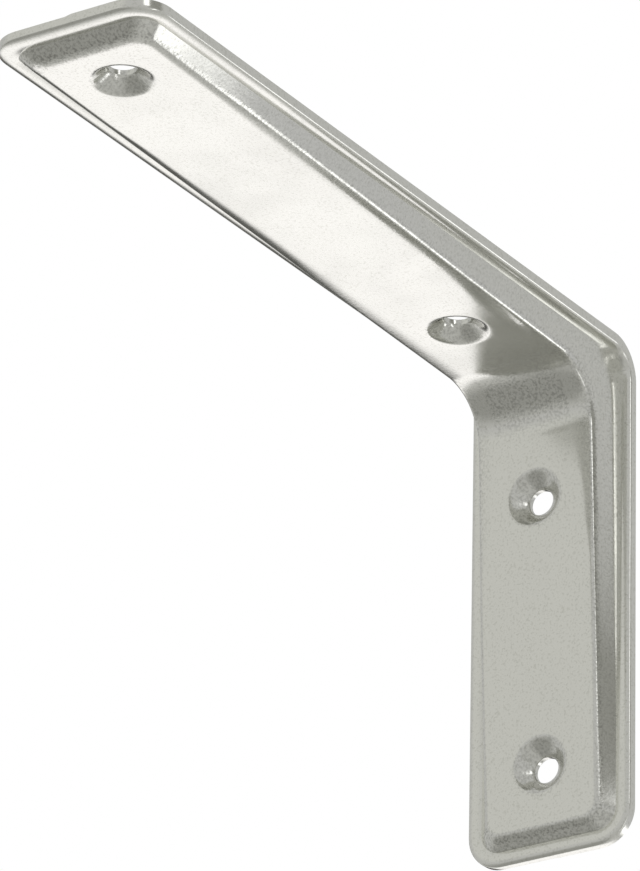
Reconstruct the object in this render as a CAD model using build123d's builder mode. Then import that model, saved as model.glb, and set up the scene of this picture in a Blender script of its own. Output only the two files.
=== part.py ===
"""Shelf bracket pressed from one steel sheet, in millimetres.

The sheet forms a shelf arm and a wall leg at a right angle. A rim with a turned-down skirt
runs all round it and touches the wall and the shelf. Inside the rim a panel is pressed up
towards the inner angle. It stands higher near the angle, where it stiffens the bend.
Each of the four screw holes sits in a round dimple of the panel.

Frame: the origin is midway between the two wall screws, on the plane of the wall.
+X points out from the wall along the shelf arm, +Y across the bracket, and +Z up.
"""

import os
from math import cos, pi, radians, sin, tan

from build123d import *

# Overall sizes
arm_length = 200.0  # wall plane to the tip of the shelf arm
leg_length = 122.0  # shelf plane to the foot of the wall leg
width = 42.5
sheet = 1.2  # thickness of the steel

# Rim and skirt
rim_height = 2.6  # mounting plane to the rim's face
rim_side = 3.6  # width of the rim along both long sides
rim_tip = 5.0  # at the tip of the arm
rim_foot = 3.4  # at the foot of the leg
rim_edge_radius = 1.5  # from the rim's face over into the skirt
rim_plan_radius = 8.5  # the four rounded corners
corner_radius = 9.0  # outside of the bend between the mounting planes
trim_step = 0.3  # one half of each end skirt is trimmed this much shorter

# Pressed panel: heights of its face over the mounting planes
panel_tip_height = 5.2  # at the tip of the arm
panel_foot_height = 5.2  # at the foot of the leg
panel_arm_rise = 4.0  # gained along the arm, towards the wall
panel_leg_rise = 5.8  # gained along the leg, towards the shelf
bend_radius = 13.0  # inside of the bend between the two panel faces
wall_draft = 20.0  # lean of the panel's walls, degrees
panel_plan_radius = 5.0  # rounded corners of the panel, at the rim
shoulder = 2.0  # bevel from the panel's face over into its walls

# Screw holes
arm_near_hole = 43.0  # wall plane to the nearer hole of the arm
arm_tip_hole = 22.0  # tip of the arm to its other hole
leg_near_hole = 36.5  # shelf plane to the nearer hole of the leg
leg_foot_hole = 20.5  # foot of the leg to its other hole
hole_radius = 3.1
dimple_depth = 4.2  # panel face to the far edge of the collar
collar_length = 1.5  # straight part of the hole
collar_wall = 1.0  # the collar is drawn a little thinner than the sheet
dimple_angle = 47.0  # lean of the dimple's funnel from the screw's axis, degrees
lip_radius = 2.0  # from the panel's face into the dimple

# Places that follow from these
overshoot = 1.0  # how far a cutting body passes the face it cuts
match = 0.01  # how closely a face has to lie where it is looked for
arm_holes = (arm_near_hole, arm_length - arm_tip_hole)  # distances from the wall plane
leg_holes = (leg_near_hole, leg_length - leg_foot_hole)  # distances below the shelf plane
shelf_z = sum(leg_holes) / 2
foot_z = shelf_z - leg_length
arm_slope = panel_arm_rise / arm_length
# The arm's and the leg's blocks reach the diagonal of the bend, where they meet
block_height = (
    max(panel_tip_height + panel_arm_rise, panel_foot_height + panel_leg_rise)
    + bend_radius * (1 - cos(pi / 4))
    + 2 * overshoot
)
leg_slope = panel_leg_rise / leg_length


def arm_panel_height(x):
    """Height of the panel's face over the shelf plane, at a distance from the wall plane."""
    return panel_tip_height + panel_arm_rise - arm_slope * x


def leg_panel_height(depth):
    """Height of the panel's face over the wall plane, at a depth below the shelf plane."""
    return panel_foot_height + panel_leg_rise - leg_slope * depth


def outline(faces):
    """The edges that only one of the faces has, which run round the faces taken together."""
    edges = [edge for face in faces for edge in face.edges()]
    return ShapeList(edge for edge in edges if sum(edge.is_same(other) for other in edges) == 1)


def inner_faces(body):
    """The faces towards the inner angle: under the arm, round the bend, and on the leg."""
    flat = body.faces().filter_by(GeomType.PLANE)
    under_arm = flat.filter_by(lambda face: face.normal_at().Z < -0.9).sort_by(SortBy.AREA)[-1]
    on_leg = flat.filter_by(lambda face: face.normal_at().X > 0.9).sort_by(SortBy.AREA)[-1]
    round_bend = body.faces().filter_by(GeomType.CYLINDER).sort_by(SortBy.AREA)[-1]
    return [under_arm, round_bend, on_leg]


def rim_body(inset):
    """The L-shaped body under the rim's face, moved inwards from the outer skin by inset."""
    tip = arm_length - inset
    foot = foot_z + inset
    level = rim_height - inset
    back = -overshoot if inset else 0.0
    with BuildPart() as body:
        with BuildSketch(Plane.XZ) as side:
            with BuildLine():
                Polyline(
                    (back, shelf_z - back),
                    (tip, shelf_z - back),
                    (tip, shelf_z - level),
                    (level, shelf_z - level),
                    (level, foot),
                    (back, foot),
                    close=True,
                )
            make_face()
            inner_corner = side.vertices().sort_by_distance((level, shelf_z - level))[0]
            fillet(inner_corner, corner_radius - level)
            if not inset:
                fillet(side.vertices().sort_by_distance((0, shelf_z))[0], corner_radius)
        extrude(amount=width / 2 - inset, both=True)
        tip_corners = body.edges().filter_by(Axis.Z).group_by(Axis.X)[-1]
        foot_corners = body.edges().filter_by(Axis.X).group_by(Axis.Z)[0]
        fillet(tip_corners + foot_corners, rim_plan_radius - inset)
        level_faces = body.faces().filter_by(
            lambda face: abs(face.center().X - level) < match
            or abs(face.center().Z - shelf_z + level) < match
        )
        bend = body.faces().filter_by(GeomType.CYLINDER).filter_by(
            lambda face: abs(face.radius - corner_radius + level) < match
        )
        fillet(outline(level_faces + bend), rim_edge_radius - inset)
    return body.part


def drafted_block(base_plane, level, length, half, corner):
    """A block on a base plane, square at its near end, its sides and its far end leaning in.

    Its outline has the given length and half width where it passes the level.
    """
    with BuildPart() as block:
        with BuildSketch(base_plane) as plan:
            with Locations((length / 2, 0)):
                Rectangle(length, 2 * half)
            fillet(plan.vertices().group_by(Axis.X)[-1], corner)
        extrude(amount=block_height)
        walls = block.faces().filter_by(
            lambda face: abs(face.normal_at().dot(base_plane.z_dir)) < 0.5
            and face.normal_at().dot(base_plane.x_dir) > -0.5
        )
        draft(walls, base_plane.offset(level), wall_draft)
    return block.part


def panel_body(inset):
    """The body under the pressed panel's face, moved inwards from the outer skin by inset."""
    lean = radians(wall_draft)
    wall_gap = inset * (1 - sin(lean)) / cos(lean)
    half = width / 2 - rim_side - wall_gap
    corner = panel_plan_radius - wall_gap
    back = -overshoot if inset else 0.0
    arm_at_wall = arm_panel_height(0) - inset
    leg_at_shelf = leg_panel_height(0) - inset
    bend_x = (leg_at_shelf - leg_slope * arm_at_wall) / (1 - leg_slope * arm_slope)
    bend_z = shelf_z - arm_at_wall + arm_slope * bend_x
    under_arm = Plane((back, 0, shelf_z - back), x_dir=(1, 0, 0), z_dir=(0, 0, -1))
    on_leg = Plane((back, 0, shelf_z - back), x_dir=(0, 0, -1), z_dir=(1, 0, 0))
    level = rim_height - inset - back
    arm_block = drafted_block(under_arm, level, arm_length - rim_tip - wall_gap - back, half, corner)
    leg_block = drafted_block(on_leg, level, leg_length - rim_foot - wall_gap - back, half, corner)
    with BuildPart() as body:
        add(arm_block)
        add(leg_block)
        with BuildSketch(Plane.XZ) as profile:
            with BuildLine():
                Polyline(
                    (back, shelf_z - back),
                    (arm_length, shelf_z - back),
                    (arm_length, shelf_z - arm_panel_height(arm_length) + inset),
                    (bend_x, bend_z),
                    (leg_panel_height(leg_length) - inset, foot_z),
                    (back, foot_z),
                    close=True,
                )
            make_face()
            fillet(profile.vertices().sort_by_distance((bend_x, bend_z))[0], bend_radius + inset)
            if not inset:
                fillet(profile.vertices().sort_by_distance((0, shelf_z))[0], corner_radius)
        extrude(amount=width, both=True, mode=Mode.INTERSECT)
        chamfer(outline(inner_faces(body)), shoulder - inset * tan((pi / 2 - lean) / 2))
    return body.part


def hole_seats():
    """A plane at the far edge of each collar, facing the inner angle."""
    seats = []
    for x in arm_holes:
        height = arm_panel_height(x) - dimple_depth
        seats.append(Plane((x, 0, shelf_z - height), x_dir=(1, 0, 0), z_dir=(0, 0, -1)))
    for depth in leg_holes:
        height = leg_panel_height(depth) - dimple_depth
        seats.append(Plane((height, 0, shelf_z - depth), x_dir=(0, 1, 0), z_dir=(1, 0, 0)))
    return seats


def funnel(bottom_radius, bottom, top):
    """A cone that widens from the collar at the dimple's lean, from one height to another."""
    top_radius = bottom_radius + (top - bottom) * tan(radians(dimple_angle))
    with Locations((0, 0, bottom)):
        Cone(bottom_radius, top_radius, top - bottom, align=(Align.CENTER, Align.CENTER, Align.MIN))


# The dimple as the screw's head meets it: collar, funnel, and air above the panel's face
with BuildPart() as dimple:
    with Locations((0, 0, -rim_height)):
        Cylinder(
            hole_radius,
            rim_height + dimple_depth,
            align=(Align.CENTER, Align.CENTER, Align.MIN),
        )
    funnel(hole_radius, collar_length, dimple_depth + overshoot)

# The same dimple from behind, thicker by the steel
skin_gap = sheet / cos(radians(dimple_angle))
with BuildPart() as boss:
    Cylinder(
        hole_radius + collar_wall,
        dimple_depth,
        align=(Align.CENTER, Align.CENTER, Align.MIN),
    )
    boss_foot = collar_length - (skin_gap - collar_wall) / tan(radians(dimple_angle))
    funnel(hole_radius + collar_wall, boss_foot, dimple_depth)

# The hollow under the sheet, with the four bosses left standing in it
with BuildPart() as hollow:
    add(rim_body(sheet))
    add(panel_body(sheet))
    for seat in hole_seats():
        add(boss.part.moved(seat.location), mode=Mode.SUBTRACT)

# The bracket: the outer skin, less the dimples and the hollow
with BuildPart() as bracket:
    add(rim_body(0.0))
    add(panel_body(0.0))
    for seat in hole_seats():
        add(dimple.part.moved(seat.location), mode=Mode.SUBTRACT)
    lips = bracket.edges().filter_by(GeomType.ELLIPSE).filter_by(
        lambda edge: any(
            (edge.arc_center - seat.origin).cross(seat.z_dir).length < hole_radius
            for seat in hole_seats()
        )
    )
    fillet(lips, lip_radius)
    add(hollow.part, mode=Mode.SUBTRACT)
    # The skirt round one half of each end is trimmed a little shorter
    with Locations((arm_length, -width / 4, shelf_z)):
        Box(2 * rim_tip, width / 2, 2 * trim_step, mode=Mode.SUBTRACT)
    with Locations((0, -width / 4, foot_z)):
        Box(2 * trim_step, width / 2, 2 * rim_foot, mode=Mode.SUBTRACT)

bracket.part.label = "bracket"
os.makedirs("parts", exist_ok=True)
export_step(bracket.part, "parts/bracket.step")
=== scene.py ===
# %% [markdown]
# # A shelf bracket pressed from one zinc-plated sheet
#
# The bracket is one sheet of steel: an arm under the shelf and a leg on the wall. This lesson
# builds its outer skin from closed loops that follow the outline, gives the skin its thickness
# with Geometry Nodes, plates it, and lights it in a small studio. Lengths are in millimetres
# until the mesh is made, which is in metres.

import math

import bmesh
import bpy
from mathutils import Matrix, Vector


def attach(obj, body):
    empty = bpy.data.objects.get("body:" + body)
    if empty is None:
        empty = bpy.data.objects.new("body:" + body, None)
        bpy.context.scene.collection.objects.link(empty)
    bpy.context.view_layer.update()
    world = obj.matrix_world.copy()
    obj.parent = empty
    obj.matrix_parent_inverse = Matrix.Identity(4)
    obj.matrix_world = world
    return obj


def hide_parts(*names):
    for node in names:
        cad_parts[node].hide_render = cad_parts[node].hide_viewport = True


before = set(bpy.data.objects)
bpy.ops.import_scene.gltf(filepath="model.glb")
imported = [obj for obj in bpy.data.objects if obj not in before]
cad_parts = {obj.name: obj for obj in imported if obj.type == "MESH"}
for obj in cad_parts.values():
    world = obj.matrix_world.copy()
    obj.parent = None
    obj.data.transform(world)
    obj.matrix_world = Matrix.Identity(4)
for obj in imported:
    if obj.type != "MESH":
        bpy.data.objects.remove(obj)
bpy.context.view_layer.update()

# %% [markdown]
# ## Sizes
#
# They repeat the CAD model's. The shelf plane and the wall plane are the two mounting planes, and
# every height below is measured from one of them.

# %% Sizes
MM = 0.001
ARM, LEG, HALF = 200.0, 122.0, 21.25
SHELF_Z = 69.0
THICKNESS = 1.2
# Radius of the rim round the outer angle, and of the panel inside it.
CORNER, BEND = 9.0, 13.0
# The panel's height at the tip and the foot, and its rise from there towards the angle.
PANEL_LOW, ARM_RISE, LEG_RISE = 5.2, 4.0, 5.8
# The crease between the rim and the panel's wall: its inset at the sides, the tip and the foot,
# and its height.
RIM_SIDE, RIM_TIP, RIM_FOOT = 3.6, 5.0, 3.4
CREASE_H = 2.35
# Corner radius of the outline, and of the crease.
OUTLINE_R, CREASE_R = 8.5, 5.0
# Distance of the wall's top edge from the middle.
WALL_TOP = 15.3
# How much shorter the trimmed half of each end skirt is, and how far in from the end it counts.
TRIM, TRIM_REACH = 0.3, 9.0
ARM_HOLES, LEG_HOLES = (178.0, 43.0), (36.5, 101.5)
HOLE_R = 3.1
# Where a dimple's lip starts on the sloping panel, and where it has come level with the collar.
LIP_OUT, LIP_IN = 7.5, 5.0
# Half the side of the square round a dimple, and the number of cells along a side.
BLOCK, CELLS = 8.0, 16


def arm_height(x):
    """How far the panel's face lies below the shelf plane."""
    return PANEL_LOW + ARM_RISE * (1.0 - x / ARM)


def leg_height(depth):
    """How far the panel's face lies from the wall plane."""
    return PANEL_LOW + LEG_RISE * (1.0 - depth / LEG)


def panel_height(limb, u):
    return arm_height(u) if limb == "arm" else leg_height(u)


def table(value, pairs):
    """Smoothly interpolates between (position, value) pairs, held constant outside them."""
    if value <= pairs[0][0]:
        return pairs[0][1]
    for (a, va), (b, vb) in zip(pairs, pairs[1:]):
        if value <= b:
            t = (value - a) / (b - a)
            t = t * t * (3.0 - 2.0 * t)
            return va + (vb - va) * t
    return pairs[-1][1]


# %% [markdown]
# ## Two paths round the angle
#
# Seen from the side, the rim turns the corner on a radius about one point and the panel turns it
# on another. A station on the arm or on the leg has the same distance on both paths. In the bend
# the two paths are matched by the share of their lengths.

# %% Paths
angle_a, angle_l = math.atan(ARM_RISE / ARM), math.atan(LEG_RISE / LEG)
# The bend's centre lies BEND from both sloping faces.
off_a, off_l = BEND / math.cos(angle_a), BEND / math.cos(angle_l)
# Depth below the shelf plane and distance from the wall plane of that centre. Each round brings
# the pair closer.
depth_c, x_c = 20.0, 20.0
for _ in range(40):
    depth_c = arm_height(x_c) + off_a
    x_c = leg_height(depth_c) + off_l
TAN_X = x_c + BEND * math.sin(angle_a)
TAN_D = depth_c + BEND * math.sin(angle_l)


def rim_bend(f, height):
    """(x, depth) on the rim's path between the two tangent stations, at a height."""
    run_a, arc, run_l = TAN_X - CORNER, CORNER * math.pi / 2, TAN_D - CORNER
    s = f * (run_a + arc + run_l)
    if s <= run_a:
        return TAN_X - s, height
    if s <= run_a + arc:
        turn = (s - run_a) / CORNER
        r = CORNER - height
        return CORNER - r * math.sin(turn), CORNER - r * math.cos(turn)
    return height, CORNER + (s - run_a - arc)


def panel_bend(f):
    """(x, depth) on the panel's path in the bend."""
    turn = -angle_a + f * (math.pi / 2 + angle_a + angle_l)
    return x_c - BEND * math.sin(turn), depth_c - BEND * math.cos(turn)


def place(station, y, share, height=CREASE_H):
    """A point at a station and a y. share runs from 0 at the rim's level to 1 on the panel."""
    limb, u = station
    if limb == "arm":
        low, high = (u, height), (u, arm_height(u))
    elif limb == "leg":
        low, high = (height, u), (leg_height(u), u)
    else:
        low, high = rim_bend(u, height), panel_bend(u)
    x = low[0] + (high[0] - low[0]) * share
    depth = low[1] + (high[1] - low[1]) * share
    return Vector((x, y, SHELF_Z - depth))


print("bend centre", round(x_c, 2), round(depth_c, 2), "tangents", round(TAN_X, 2), round(TAN_D, 2))

# %% [markdown]
# ## Stations along the sheet
#
# The rows run from the arm's tip to the foot of the leg. Each hole has its own block of even rows.
# The rows past the end holes stretch to where each loop's own rounded corner begins.

# %% Stations
def spread(limb, a, b, count):
    return [(limb, a + (b - a) * k / count) for k in range(count)]


tip_hole, arm_hole = ARM_HOLES
leg_hole, foot_hole = LEG_HOLES
stations = [("tip", k / 4) for k in range(4)]
blocks = []
blocks.append(len(stations))
stations += spread("arm", tip_hole + BLOCK, tip_hole - BLOCK, CELLS)
stations += spread("arm", tip_hole - BLOCK, arm_hole + BLOCK, 40)
blocks.append(len(stations))
stations += spread("arm", arm_hole + BLOCK, arm_hole - BLOCK, CELLS)
stations += spread("arm", arm_hole - BLOCK, TAN_X, 6)
stations += spread("bend", 0.0, 1.0, 36)
stations += spread("leg", TAN_D, leg_hole - BLOCK, 4)
blocks.append(len(stations))
stations += spread("leg", leg_hole - BLOCK, leg_hole + BLOCK, CELLS)
stations += spread("leg", leg_hole + BLOCK, foot_hole - BLOCK, 20)
blocks.append(len(stations))
stations += spread("leg", foot_hole - BLOCK, foot_hole + BLOCK, CELLS)
stations += [("foot", k / 4) for k in range(5)]
print("stations", len(stations), "hole blocks at", blocks)

# %% [markdown]
# ## The loops
#
# A loop is a rounded rectangle. It has an inset at the sides, the tip and the foot, a corner
# radius, a height on the rim or a share of the way up to the panel. The last loops ease from the
# wall's crisp top edge over a wide, soft shoulder into the flat, which is narrowest at the bend.

# %% Loops
def flat_border(station):
    limb, u = station
    if limb == "arm":
        return table(u, [(24, 10.4), (45, 10.6), (94, 11.2), (145, 12.4), (165, 13.2)])
    if limb == "leg":
        return table(u, [(22, 10.4), (40, 12.2), (55, 14.0), (85, 14.0), (111, 13.6)])
    return {"tip": 13.2, "foot": 13.6, "bend": 10.4}[limb]


def edge_drop(station):
    """How far the wall's top edge lies under the panel's face."""
    limb, u = station
    if limb == "arm":
        return table(u, [(24, 0.55), (60, 0.45), (100, 0.8), (170, 0.9)])
    if limb == "leg":
        return table(u, [(22, 0.55), (60, 0.5), (110, 0.9)])
    return {"tip": 0.9, "foot": 0.9, "bend": 0.55}[limb]


def rim_loop(side, height):
    """A loop on the skirt or the rim, inset from the sides and at a height."""
    lean = side / RIM_SIDE
    on_rim = side > 0.5
    return dict(kind="rim", side=side, tip=RIM_TIP * lean if on_rim else side,
                foot=RIM_FOOT * lean if on_rim else side,
                radius=OUTLINE_R - (OUTLINE_R - CREASE_R) * lean, height=height, formed=0.0)


def panel_loop(kind, t, tip, foot, radius):
    """A loop on the wall, its rolled top edge or the soft shoulder, a share t along it."""
    drawn = {"wall": 0.25, "roll": 0.7, "soft": 0.6 * (1.0 - t)}[kind]
    return dict(kind=kind, t=t, tip=tip, foot=foot, radius=radius, formed=drawn)


# Pairs of inset and height, from the skirt's free edge over the crowned rim to the crease.
RIM = [(0.0, 0.0), (0.0, 1.0), (0.0, 1.85), (0.05, 2.0), (0.2, 2.16), (0.48, 2.34), (0.9, 2.5),
       (1.4, 2.6), (1.9, 2.64), (2.5, 2.6), (3.0, 2.5), (3.4, 2.4), (RIM_SIDE, CREASE_H)]
loops = [rim_loop(side, height) for side, height in RIM]
# Where the rolled edge leaves the wall, and where it joins the shoulder, as shares of each.
ROLL_START, ROLL_END = 0.78, 0.14


def wall_plan(t):
    """(tip inset, foot inset, corner radius) a share t of the way up the wall."""
    return RIM_TIP + 1.8 * t, RIM_FOOT + 1.4 * t, CREASE_R - 0.8 * t


def soft_plan(t):
    """The same three, a share t of the way across the shoulder."""
    return 6.8 + 3.4 * t, 4.8 + 1.9 * t, 4.2 - 0.9 * t


def curve(a, b, c, q):
    """A point on the smooth curve from a to c that leaves and arrives towards b."""
    return tuple(u * (1 - q) ** 2 + 2 * v * q * (1 - q) + w * q * q for u, v, w in zip(a, b, c))


for t in (0.1, 0.3, 0.55, ROLL_START):
    loops.append(panel_loop("wall", t, *wall_plan(t)))
for q in (0.17, 0.33, 0.5, 0.67, 0.83, 1.0):
    plan = curve(wall_plan(ROLL_START), wall_plan(1.0), soft_plan(ROLL_END), q)
    loops.append(panel_loop("roll", q, *plan))
for t in (0.26, 0.4, 0.55, 0.7, 0.85, 1.0):
    loops.append(panel_loop("soft", t, *soft_plan(t)))


def loop_point(loop, station, y_sign):
    """The loop's point at a side station."""
    limb, u = station
    if limb == "tip":
        end = ARM - loop["tip"] - loop["radius"]
        real = ("arm", end + (tip_hole + BLOCK - end) * u)
    elif limb == "foot":
        end = LEG - loop["foot"] - loop["radius"]
        real = ("leg", foot_hole + BLOCK + (end - foot_hole - BLOCK) * u)
    else:
        real = station
    y, share, height = section(loop, real)
    return place(real, y_sign * y, share, height)


def section(loop, station):
    """(y, share, height) of a loop at a station."""
    if loop["kind"] == "rim":
        return HALF - loop["side"], 0.0, loop["height"]
    low = place(station, 0.0, 0.0)
    span = (place(station, 0.0, 1.0) - low).length
    top = 1.0 - edge_drop(station) / span
    crease, edge = HALF - RIM_SIDE, WALL_TOP
    border = flat_border(station)

    def wall(t):
        return crease + (edge - crease) * t, top * t

    def soft(t):
        return edge + (border - edge) * t, top + (1 - top) * (1 - (1 - t) ** 2)

    t = loop["t"]
    if loop["kind"] == "wall":
        y, share = wall(t)
    elif loop["kind"] == "soft":
        y, share = soft(t)
    else:
        y, share = curve(wall(ROLL_START), wall(1.0), soft(ROLL_END), t)
    return y, share, CREASE_H


def end_points(loop, limb):
    """The points round the end of an arm or leg, from its right side to its left."""
    far = ARM - loop["tip"] if limb == "arm" else LEG - loop["foot"]
    r = loop["radius"]
    side_station = (limb, far - r)
    y, share, height = section(loop, side_station)
    plan = []
    for k in range(1, 13):
        a = math.pi / 2 * k / 12
        plan.append((far - r + r * math.sin(a), y - r + r * math.cos(a)))
    run = y - r
    for k in range(1, 16):
        plan.append((far, run * (1 - 2 * k / 16)))
    for k in range(12):
        a = math.pi / 2 * (1 - k / 12)
        plan.append((far - r + r * math.sin(a), -(y - r) - r * math.cos(a)))
    points = []
    for u, v in plan:
        points.append(place((limb, u), v, share, height))
    return points


verts, faces, formed = [], [], []


def add(point, weight):
    verts.append(point * MM)
    formed.append(weight)
    return len(verts) - 1


def trimmed(loop, point):
    """The free edge of one half of each end skirt is a little shorter."""
    if loop is not loops[0] or point.y > 0.0:
        return point
    if point.x > ARM - TRIM_REACH:
        return point - Vector((0, 0, TRIM))
    if point.z < SHELF_Z - LEG + TRIM_REACH:
        return point + Vector((TRIM, 0, 0))
    return point


def bent(station):
    """How much the bend has drawn the flat at a station."""
    return math.sin(math.pi * station[1]) * 0.8 if station[0] == "bend" else 0.0


rings = []
for loop in loops:
    ring = [add(trimmed(loop, loop_point(loop, s, 1)), loop["formed"]) for s in stations]
    end_drawn = loop["formed"] and min(1.0, loop["formed"] + 0.45)
    ring += [add(trimmed(loop, p), end_drawn) for p in end_points(loop, "leg")]
    ring += [add(trimmed(loop, loop_point(loop, s, -1)), loop["formed"]) for s in reversed(stations)]
    ring += [add(trimmed(loop, p), end_drawn) for p in reversed(end_points(loop, "arm"))]
    rings.append(ring)
count = len(rings[0])
for outer, inner in zip(rings, rings[1:]):
    for k in range(count):
        n = (k + 1) % count
        faces.append((outer[k], outer[n], inner[n], inner[k]))
print("loops", len(rings), "of", count, "points")

# %% [markdown]
# ## The flat and its four dimples
#
# Rows of the flat join the two long sides of the last loop. Where a hole sits, a square block of
# cells is left out. Rings then lead from the square to a circle, over the dimple's lip, down its
# funnel and through its collar.

# %% The flat
border = rings[-1]
n_rows = len(stations)
right = border[:n_rows]
ends = len(end_points(loops[-1], "leg"))
left = list(reversed(border[n_rows + ends : 2 * n_rows + ends]))
SIDE = 4
columns = [("side", 1, k / SIDE) for k in range(1, SIDE)]
columns += [("block", 1, BLOCK - 2 * BLOCK * k / CELLS) for k in range(CELLS + 1)]
columns += [("side", -1, 1 - k / SIDE) for k in range(1, SIDE)]
grid = []
for i, station in enumerate(stations):
    side = verts[right[i]] / MM
    row = [right[i]]
    for kind, sign, value in columns:
        y = value if kind == "block" else sign * (side.y + (BLOCK - side.y) * value)
        inside = any(s < i < s + CELLS for s in blocks) and kind == "block" and abs(y) < BLOCK - 0.01
        row.append(None if inside else add(Vector((side.x, y, side.z)), bent(station)))
    row.append(left[i])
    grid.append(row)
for i in range(n_rows - 1):
    for j in range(len(grid[0]) - 1):
        quad = (grid[i][j], grid[i + 1][j], grid[i + 1][j + 1], grid[i][j + 1])
        in_rows = any(s <= i < s + CELLS for s in blocks)
        in_columns = SIDE <= j < SIDE + CELLS
        if in_rows and in_columns:
            continue
        faces.append(quad)
# The two ends of the flat are plane, so one face closes each of them.
foot_cap = border[n_rows : n_rows + ends]
tip_cap = border[2 * n_rows + ends :]
faces.append(tuple([grid[-1][j] for j in range(len(grid[0]) - 1, -1, -1)] + foot_cap))
faces.append(tuple([grid[0][j] for j in range(len(grid[0]))] + tip_cap))
print("flat rows", n_rows, "columns", len(grid[0]))

# %% Dimples
# Pairs of radius and depth under the panel's face.
PROFILE = [(LIP_OUT, 0.0), (7.1, 0.04), (6.7, 0.14), (6.3, 0.32), (5.85, 0.6), (5.4, 0.93),
           (4.9, 1.32), (4.4, 1.7), (3.95, 2.06), (3.55, 2.4), (3.25, 2.72), (HOLE_R, 3.0),
           (HOLE_R + 0.04, 3.2), (HOLE_R, 3.4), (HOLE_R + 0.04, 3.6), (HOLE_R, 3.8),
           (HOLE_R + 0.03, 4.0), (HOLE_R, 4.2)]


def on_panel(limb, u, y, depth_under):
    """A point at a depth under the panel's face, measured along the screw."""
    height = panel_height(limb, u)
    if limb == "arm":
        return Vector((u, y, SHELF_Z - height + depth_under))
    return Vector((height - depth_under, y, SHELF_Z - u))


for start, (limb, centre) in zip(blocks, [("arm", tip_hole), ("arm", arm_hole),
                                          ("leg", leg_hole), ("leg", foot_hole)]):
    top, bottom, first, last = start, start + CELLS, SIDE, SIDE + CELLS
    square = [grid[top][j] for j in range(first, last)]
    square += [grid[i][last] for i in range(top, bottom)]
    square += [grid[bottom][j] for j in range(last, first, -1)]
    square += [grid[i][first] for i in range(bottom, top, -1)]
    plan = []
    for index in square:
        p = verts[index] / MM
        u = p.x if limb == "arm" else SHELF_Z - p.z
        plan.append((u - centre, p.y))
    previous = square
    for radius, depth_under in PROFILE:
        level = 1.0 if radius < LIP_IN else max(0.0, (LIP_OUT - radius) / (LIP_OUT - LIP_IN))
        weight = 0.55 if radius < LIP_OUT else 0.0
        ring = []
        for du, dy in plan:
            length = math.hypot(du, dy)
            u, y = centre + du / length * radius, dy / length * radius
            flat_u = u + (centre - u) * level
            tilt = panel_height(limb, u) - panel_height(limb, flat_u)
            ring.append(add(on_panel(limb, u, y, depth_under + tilt), weight))
        for k in range(len(ring)):
            n = (k + 1) % len(ring)
            faces.append((previous[k], ring[k], ring[n], previous[n]))
        previous = ring
print("vertices", len(verts), "faces", len(faces))

# %% [markdown]
# ## One mesh
#
# The faces are turned so that they look away from the steel: down from the arm, out from the leg.
# A "formed" value marks where the press has drawn the sheet, and the plating uses it.

# %% Skin
skin = bpy.data.meshes.new("bracket skin")
skin.from_pydata([tuple(v) for v in verts], [], faces)
skin.attributes.new("formed", "FLOAT", "POINT").data.foreach_set("value", formed)
work = bmesh.new()
work.from_mesh(skin)
bmesh.ops.recalc_face_normals(work, faces=work.faces)
# The arm's flat, halfway along, must look down.
mid_arm = place(("arm", ARM / 2), 0.0, 1.0) * MM
probe = min(work.faces, key=lambda f: (f.calc_center_median() - mid_arm).length)
if probe.normal.z > 0:
    bmesh.ops.reverse_faces(work, faces=work.faces)
open_edges = sum(1 for e in work.edges if len(e.link_faces) == 1)
bad_edges = sum(1 for e in work.edges if len(e.link_faces) > 2)
work.to_mesh(skin)
work.free()
bracket = bpy.data.objects.new("pressed_bracket", skin)
bpy.context.collection.objects.link(bracket)
print("open edges", open_edges, "edges with more than two faces", bad_edges)

# %% [markdown]
# ## Helpers for node trees
#
# One function adds a node with its settings and links. Another turns a hex colour into the linear
# numbers that a shader needs.

# %% Helpers
def node(tree, kind, inputs=None, **settings):
    n = tree.nodes.new(kind)
    for key, value in settings.items():
        setattr(n, key, value)
    for key, value in (inputs or {}).items():
        if isinstance(value, bpy.types.NodeSocket):
            tree.links.new(value, n.inputs[key])
        else:
            n.inputs[key].default_value = value
    return n


def linear(hex_colour):
    parts = [int(hex_colour[k : k + 2], 16) / 255 for k in (0, 2, 4)]
    return tuple(c / 12.92 if c <= 0.04045 else ((c + 0.055) / 1.055) ** 2.4 for c in parts) + (1.0,)


# %% [markdown]
# ## Bright zinc plating
#
# Bright zinc is almost a mirror on the flats, with a fine grain and cloudy patches that are a
# little duller. Where the sheet was drawn it is slightly smoother, and an orange-peel texture and
# dark flecks break the reflections up. Sizes are real: each pattern's scale is one over its size.

# %% Plating
def per_mm(size):
    """Noise scale for a pattern of that many millimetres, on coordinates in metres."""
    return 1.0 / (size * MM)


# Sizes of the patterns, and the heights of the three that bump the surface.
GRAIN, PEEL, FLECK, CLOUD = 0.55, 2.2, 0.6, 14.0
GRAIN_BUMP, PEEL_BUMP, FLECK_BUMP = 0.005, 0.05, 0.045
# Roughness of the flats, and what fully drawn metal adds to it.
ROUGH_LOW, ROUGH_HIGH, ROUGH_DRAWN = 0.14, 0.22, -0.05
plating = bpy.data.materials.new("bright zinc-plated steel")
plating.use_nodes = True
tree = plating.node_tree
shader = tree.nodes["Principled BSDF"]
place_on = node(tree, "ShaderNodeTexCoord").outputs["Object"]
drawn = node(tree, "ShaderNodeAttribute", attribute_name="formed").outputs["Fac"]
grain = node(tree, "ShaderNodeTexNoise", {"Vector": place_on, "Scale": per_mm(GRAIN), "Detail": 3.0})
peel = node(tree, "ShaderNodeTexNoise", {"Vector": place_on, "Scale": per_mm(PEEL), "Detail": 2.0})
fleck = node(tree, "ShaderNodeTexNoise", {"Vector": place_on, "Scale": per_mm(FLECK), "Detail": 3.0})
cloud = node(tree, "ShaderNodeTexNoise", {"Vector": place_on, "Scale": per_mm(CLOUD), "Detail": 3.0})
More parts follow.
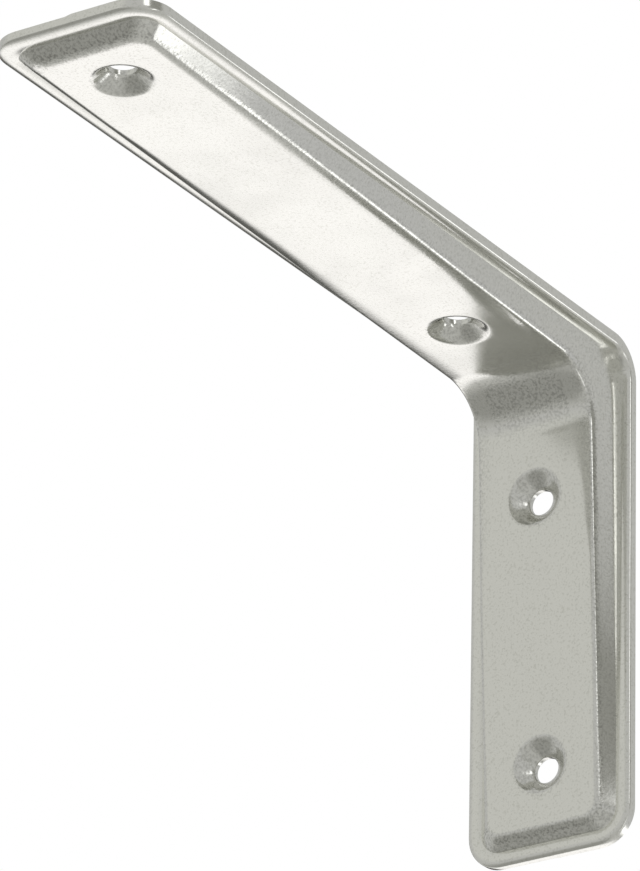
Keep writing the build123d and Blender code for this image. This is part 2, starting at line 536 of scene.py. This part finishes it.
rough_flat = node(tree, "ShaderNodeMapRange", {"Value": cloud.outputs["Fac"], "From Min": 0.35,
                  "From Max": 0.65, "To Min": ROUGH_LOW, "To Max": ROUGH_HIGH}).outputs["Result"]
rough = node(tree, "ShaderNodeMath", {0: drawn, 1: ROUGH_DRAWN, 2: rough_flat}, operation="MULTIPLY_ADD")
tree.links.new(rough.outputs[0], shader.inputs["Roughness"])
speck = node(tree, "ShaderNodeMapRange", {"Value": grain.outputs["Fac"], "From Min": 0.36,
             "From Max": 0.46, "To Min": 0.0, "To Max": 1.0}).outputs["Result"]
tint = node(tree, "ShaderNodeMix", {"Factor": speck, "A": linear("dcdcd6"), "B": linear("e9e9e4")},
            data_type="RGBA")
flecked = node(tree, "ShaderNodeMapRange", {"Value": fleck.outputs["Fac"], "From Min": 0.46,
               "From Max": 0.62, "To Min": 0.0, "To Max": 0.5}).outputs["Result"]
pits = node(tree, "ShaderNodeMath", {0: flecked, 1: drawn}, operation="MULTIPLY").outputs[0]
worn = node(tree, "ShaderNodeMix", {"Factor": pits, "A": tint.outputs["Result"],
            "B": linear("7e7e79")}, data_type="RGBA")
tree.links.new(worn.outputs["Result"], shader.inputs["Base Color"])
shader.inputs["Metallic"].default_value = 1.0
peel_bump = node(tree, "ShaderNodeBump", {"Height": peel.outputs["Fac"], "Distance": PEEL_BUMP * MM,
                 "Strength": drawn})
fleck_bump = node(tree, "ShaderNodeBump", {"Height": fleck.outputs["Fac"],
                  "Distance": FLECK_BUMP * MM, "Strength": drawn, "Normal": peel_bump.outputs["Normal"]})
grain_bump = node(tree, "ShaderNodeBump", {"Height": grain.outputs["Fac"],
                  "Distance": GRAIN_BUMP * MM, "Strength": 0.6, "Normal": fleck_bump.outputs["Normal"]})
tree.links.new(grain_bump.outputs["Normal"], shader.inputs["Normal"])
print("plating nodes", len(tree.nodes))

# %% [markdown]
# ## The sheet's thickness
#
# The tree moves a copy of the skin inwards along its normals, with a strip round every free edge,
# turns it over, and joins it to the skin. Edges that turn by more than the crease angle stay crisp.

# %% Thickness
CREASE_ANGLE = math.radians(38)
sheet = bpy.data.node_groups.new("Sheet thickness", "GeometryNodeTree")
face = sheet.interface
face.new_socket("Geometry", in_out="INPUT", socket_type="NodeSocketGeometry")
thick_in = face.new_socket("Thickness", in_out="INPUT", socket_type="NodeSocketFloat")
crease_in = face.new_socket("Crease angle", in_out="INPUT", socket_type="NodeSocketFloat")
material_in = face.new_socket("Material", in_out="INPUT", socket_type="NodeSocketMaterial")
face.new_socket("Geometry", in_out="OUTPUT", socket_type="NodeSocketGeometry")
given = sheet.nodes.new("NodeGroupInput")
inward = node(sheet, "ShaderNodeMath", {0: given.outputs["Thickness"], 1: -1.0}, operation="MULTIPLY")
thick = node(sheet, "GeometryNodeExtrudeMesh", {"Mesh": given.outputs["Geometry"],
             "Offset Scale": inward.outputs[0], "Individual": False})
turned = node(sheet, "GeometryNodeFlipFaces", {"Mesh": thick.outputs["Mesh"]})
both = sheet.nodes.new("GeometryNodeJoinGeometry")
sheet.links.new(given.outputs["Geometry"], both.inputs[0])
sheet.links.new(turned.outputs["Mesh"], both.inputs[0])
closed = node(sheet, "GeometryNodeMergeByDistance", {"Geometry": both.outputs[0], "Distance": 1e-6})
smooth = node(sheet, "GeometryNodeSetShadeSmooth", {"Geometry": closed.outputs[0], "Shade Smooth": True},
              domain="FACE")
turn = sheet.nodes.new("GeometryNodeInputMeshEdgeAngle")
gentle = node(sheet, "FunctionNodeCompare", {0: turn.outputs["Unsigned Angle"],
              1: given.outputs["Crease angle"]}, data_type="FLOAT", operation="LESS_THAN")
crisp = node(sheet, "GeometryNodeSetShadeSmooth", {"Geometry": smooth.outputs[0],
             "Shade Smooth": gentle.outputs[0]}, domain="EDGE")
real = node(sheet, "GeometryNodeRealizeInstances", {"Geometry": crisp.outputs[0]})
plated = node(sheet, "GeometryNodeSetMaterial", {"Geometry": real.outputs[0],
              "Material": given.outputs["Material"]})
out = sheet.nodes.new("NodeGroupOutput")
sheet.links.new(plated.outputs[0], out.inputs[0])
step = bracket.modifiers.new("Sheet thickness", "NODES")
step.node_group = sheet
step[thick_in.identifier] = THICKNESS * MM
step[crease_in.identifier] = CREASE_ANGLE
step[material_in.identifier] = plating
shown = bracket.evaluated_get(bpy.context.evaluated_depsgraph_get())
solid = bpy.data.meshes.new_from_object(shown)
bracket.modifiers.clear()
bracket.data = solid
triangles = sum(len(p.vertices) - 2 for p in solid.polygons)
print("bracket mesh:", len(solid.vertices), "vertices,", triangles, "triangles")

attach(bracket, "root")
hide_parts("bracket")

# %% [markdown]
# ## The studio
#
# Bright metal shows what is round it, so each face is lit by the card that it mirrors. The arm's
# flat mirrors the white card, with a darker flag beside it. The leg's flat mirrors the grey card,
# and the bend a mid-grey one that hangs below. The panel's walls mirror the side card on the arm
# and the dark side on the leg. Every card fades towards its edges. The floor is plain and pale,
# far below.

# %% Studio
# The point that every card faces, and the share of a card's half width that is evenly bright.
AIM, EVEN = Vector((0.08, 0.0, 0.02)), 0.35


def card(name, direction, distance, width, height, colour, strength):
    """A flat card that faces the bracket from a direction."""
    back = Vector(direction).normalized()
    mesh = bpy.data.meshes.new(name)
    w, h = width / 2, height / 2
    turn_to = back.to_track_quat("Z", "Y").to_matrix()
    mesh.from_pydata([(-w, -h, 0), (w, -h, 0), (w, h, 0), (-w, h, 0)], [], [(3, 2, 1, 0)])
    material = bpy.data.materials.new(name)
    material.use_nodes = True
    nodes = material.node_tree
    nodes.nodes.clear()
    glow = node(nodes, "ShaderNodeEmission", {"Color": linear(colour), "Strength": strength})
    across = node(nodes, "ShaderNodeSeparateXYZ",
                  {0: node(nodes, "ShaderNodeTexCoord").outputs["Object"]})
    shape = []
    for axis, half in (("X", w), ("Y", h)):
        far = node(nodes, "ShaderNodeMath", {0: across.outputs[axis]}, operation="ABSOLUTE")
        shape.append(node(nodes, "ShaderNodeMapRange", {"Value": far.outputs[0], "From Min": half * EVEN,
                     "From Max": half, "To Min": 1.0, "To Max": 0.0}, interpolation_type="SMOOTHSTEP"))
    fade = node(nodes, "ShaderNodeMath", {0: shape[0].outputs["Result"], 1: shape[1].outputs["Result"]},
                operation="MULTIPLY")
    clear = nodes.nodes.new("ShaderNodeBsdfTransparent")
    soft = node(nodes, "ShaderNodeMixShader", {0: fade.outputs[0], 1: clear.outputs[0], 2: glow.outputs[0]})
    node(nodes, "ShaderNodeOutputMaterial", {"Surface": soft.outputs[0]})
    mesh.materials.append(material)
    o = bpy.data.objects.new(name.replace(" ", "_"), mesh)
    o.matrix_world = Matrix.Translation(AIM + back * distance) @ turn_to.to_4x4()
    # The cards stand in the reflections and out of the picture.
    o.visible_camera = False
    bpy.context.collection.objects.link(o)


card("white card", (-0.755, -0.498, -0.426), 1.4, 2.4, 1.4, "fffdfd", 1.2)
card("left flag", (-0.74, -0.67, -0.04), 1.3, 1.5, 1.15, "5c5c59", 1.0)
card("grey card", (0.755, -0.498, 0.426), 1.4, 2.2, 1.8, "fffffa", 0.62)
card("side card", (-0.70, 0.62, -0.36), 1.4, 1.6, 1.2, "ffffff", 0.55)
card("strip light", (0.10, 0.80, -0.60), 1.3, 0.30, 1.4, "ffffff", 1.6)
# These two draw a bright line along the rolled top edge of the panel's wall.
card("arm edge light", (-0.755, 0.43, -0.50), 1.25, 0.55, 0.40, "ffffff", 1.7)
card("leg edge light", (0.50, 0.755, 0.43), 1.25, 0.40, 0.40, "ffffff", 1.9)
card("dark flag", (0.38, -0.50, -0.77), 1.2, 2.1, 1.7, "9a9a96", 1.0)
card("dark side", (0.15, 0.88, 0.42), 1.3, 1.4, 1.2, "94948f", 1.0)

FLOOR_Z, FLOOR_HALF = -2.2, 8
floor_corners = [(x * FLOOR_HALF, y * FLOOR_HALF, FLOOR_Z) for x, y in ((-1, -1), (1, -1), (1, 1), (-1, 1))]
floor_mesh = bpy.data.meshes.new("floor")
floor_mesh.from_pydata(floor_corners, [], [(0, 1, 2, 3)])
pale = bpy.data.materials.new("pale paper floor")
pale.use_nodes = True
paper_tree = pale.node_tree
matt = paper_tree.nodes["Principled BSDF"]
matt.inputs["Base Color"].default_value = linear("f4f4f2")
matt.inputs["Roughness"].default_value = 0.9
# Seen straight on, the paper is as white as the background behind it.
seen = paper_tree.nodes.new("ShaderNodeLightPath")
white = node(paper_tree, "ShaderNodeEmission", {"Color": (1, 1, 1, 1), "Strength": 1.0})
surface = node(paper_tree, "ShaderNodeMixShader", {0: seen.outputs["Is Camera Ray"],
               1: matt.outputs[0], 2: white.outputs[0]})
paper_tree.links.new(surface.outputs[0], paper_tree.nodes["Material Output"].inputs["Surface"])
floor_mesh.materials.append(pale)
floor = bpy.data.objects.new("floor", floor_mesh)
bpy.context.collection.objects.link(floor)

world = bpy.data.worlds.new("studio")
world.use_nodes = True
bpy.context.scene.world = world
tree = world.node_tree
tree.nodes.clear()
ray = tree.nodes.new("ShaderNodeLightPath")
paper = node(tree, "ShaderNodeBackground", {"Color": (1, 1, 1, 1), "Strength": 1.0})
room = node(tree, "ShaderNodeBackground", {"Color": linear("dcdcda"), "Strength": 0.75})
pick = node(tree, "ShaderNodeMixShader", {0: ray.outputs["Is Camera Ray"], 1: room.outputs[0],
            2: paper.outputs[0]})
node(tree, "ShaderNodeOutputWorld", {"Surface": pick.outputs[0]})

# %% [markdown]
# ## The camera
#
# It stands out from the wall, to the right and below the shelf arm, and looks up at the inner angle
# through a long lens.

# %% Camera
# The camera's right and backward directions. The last two lines make all three square.
right_axis = Vector((-0.54301, 0.83952, 0.01865)).normalized()
back_axis = Vector((0.75516, 0.49792, -0.42639)).normalized()
up_axis = back_axis.cross(right_axis).normalized()
right_axis = up_axis.cross(back_axis)
lens = bpy.data.cameras.new("camera")
lens.lens = 338.8
lens.sensor_width = 36.0
lens.clip_end = 50.0
lens.dof.use_dof = False
camera = bpy.data.objects.new("camera", lens)
turn_matrix = Matrix((right_axis, up_axis, back_axis)).transposed()
camera.matrix_world = Matrix.Translation((1.4489, 0.8904, -0.7506)) @ turn_matrix.to_4x4()
bpy.context.collection.objects.link(camera)
bpy.context.scene.camera = camera
bpy.context.scene.view_settings.view_transform = "Standard"
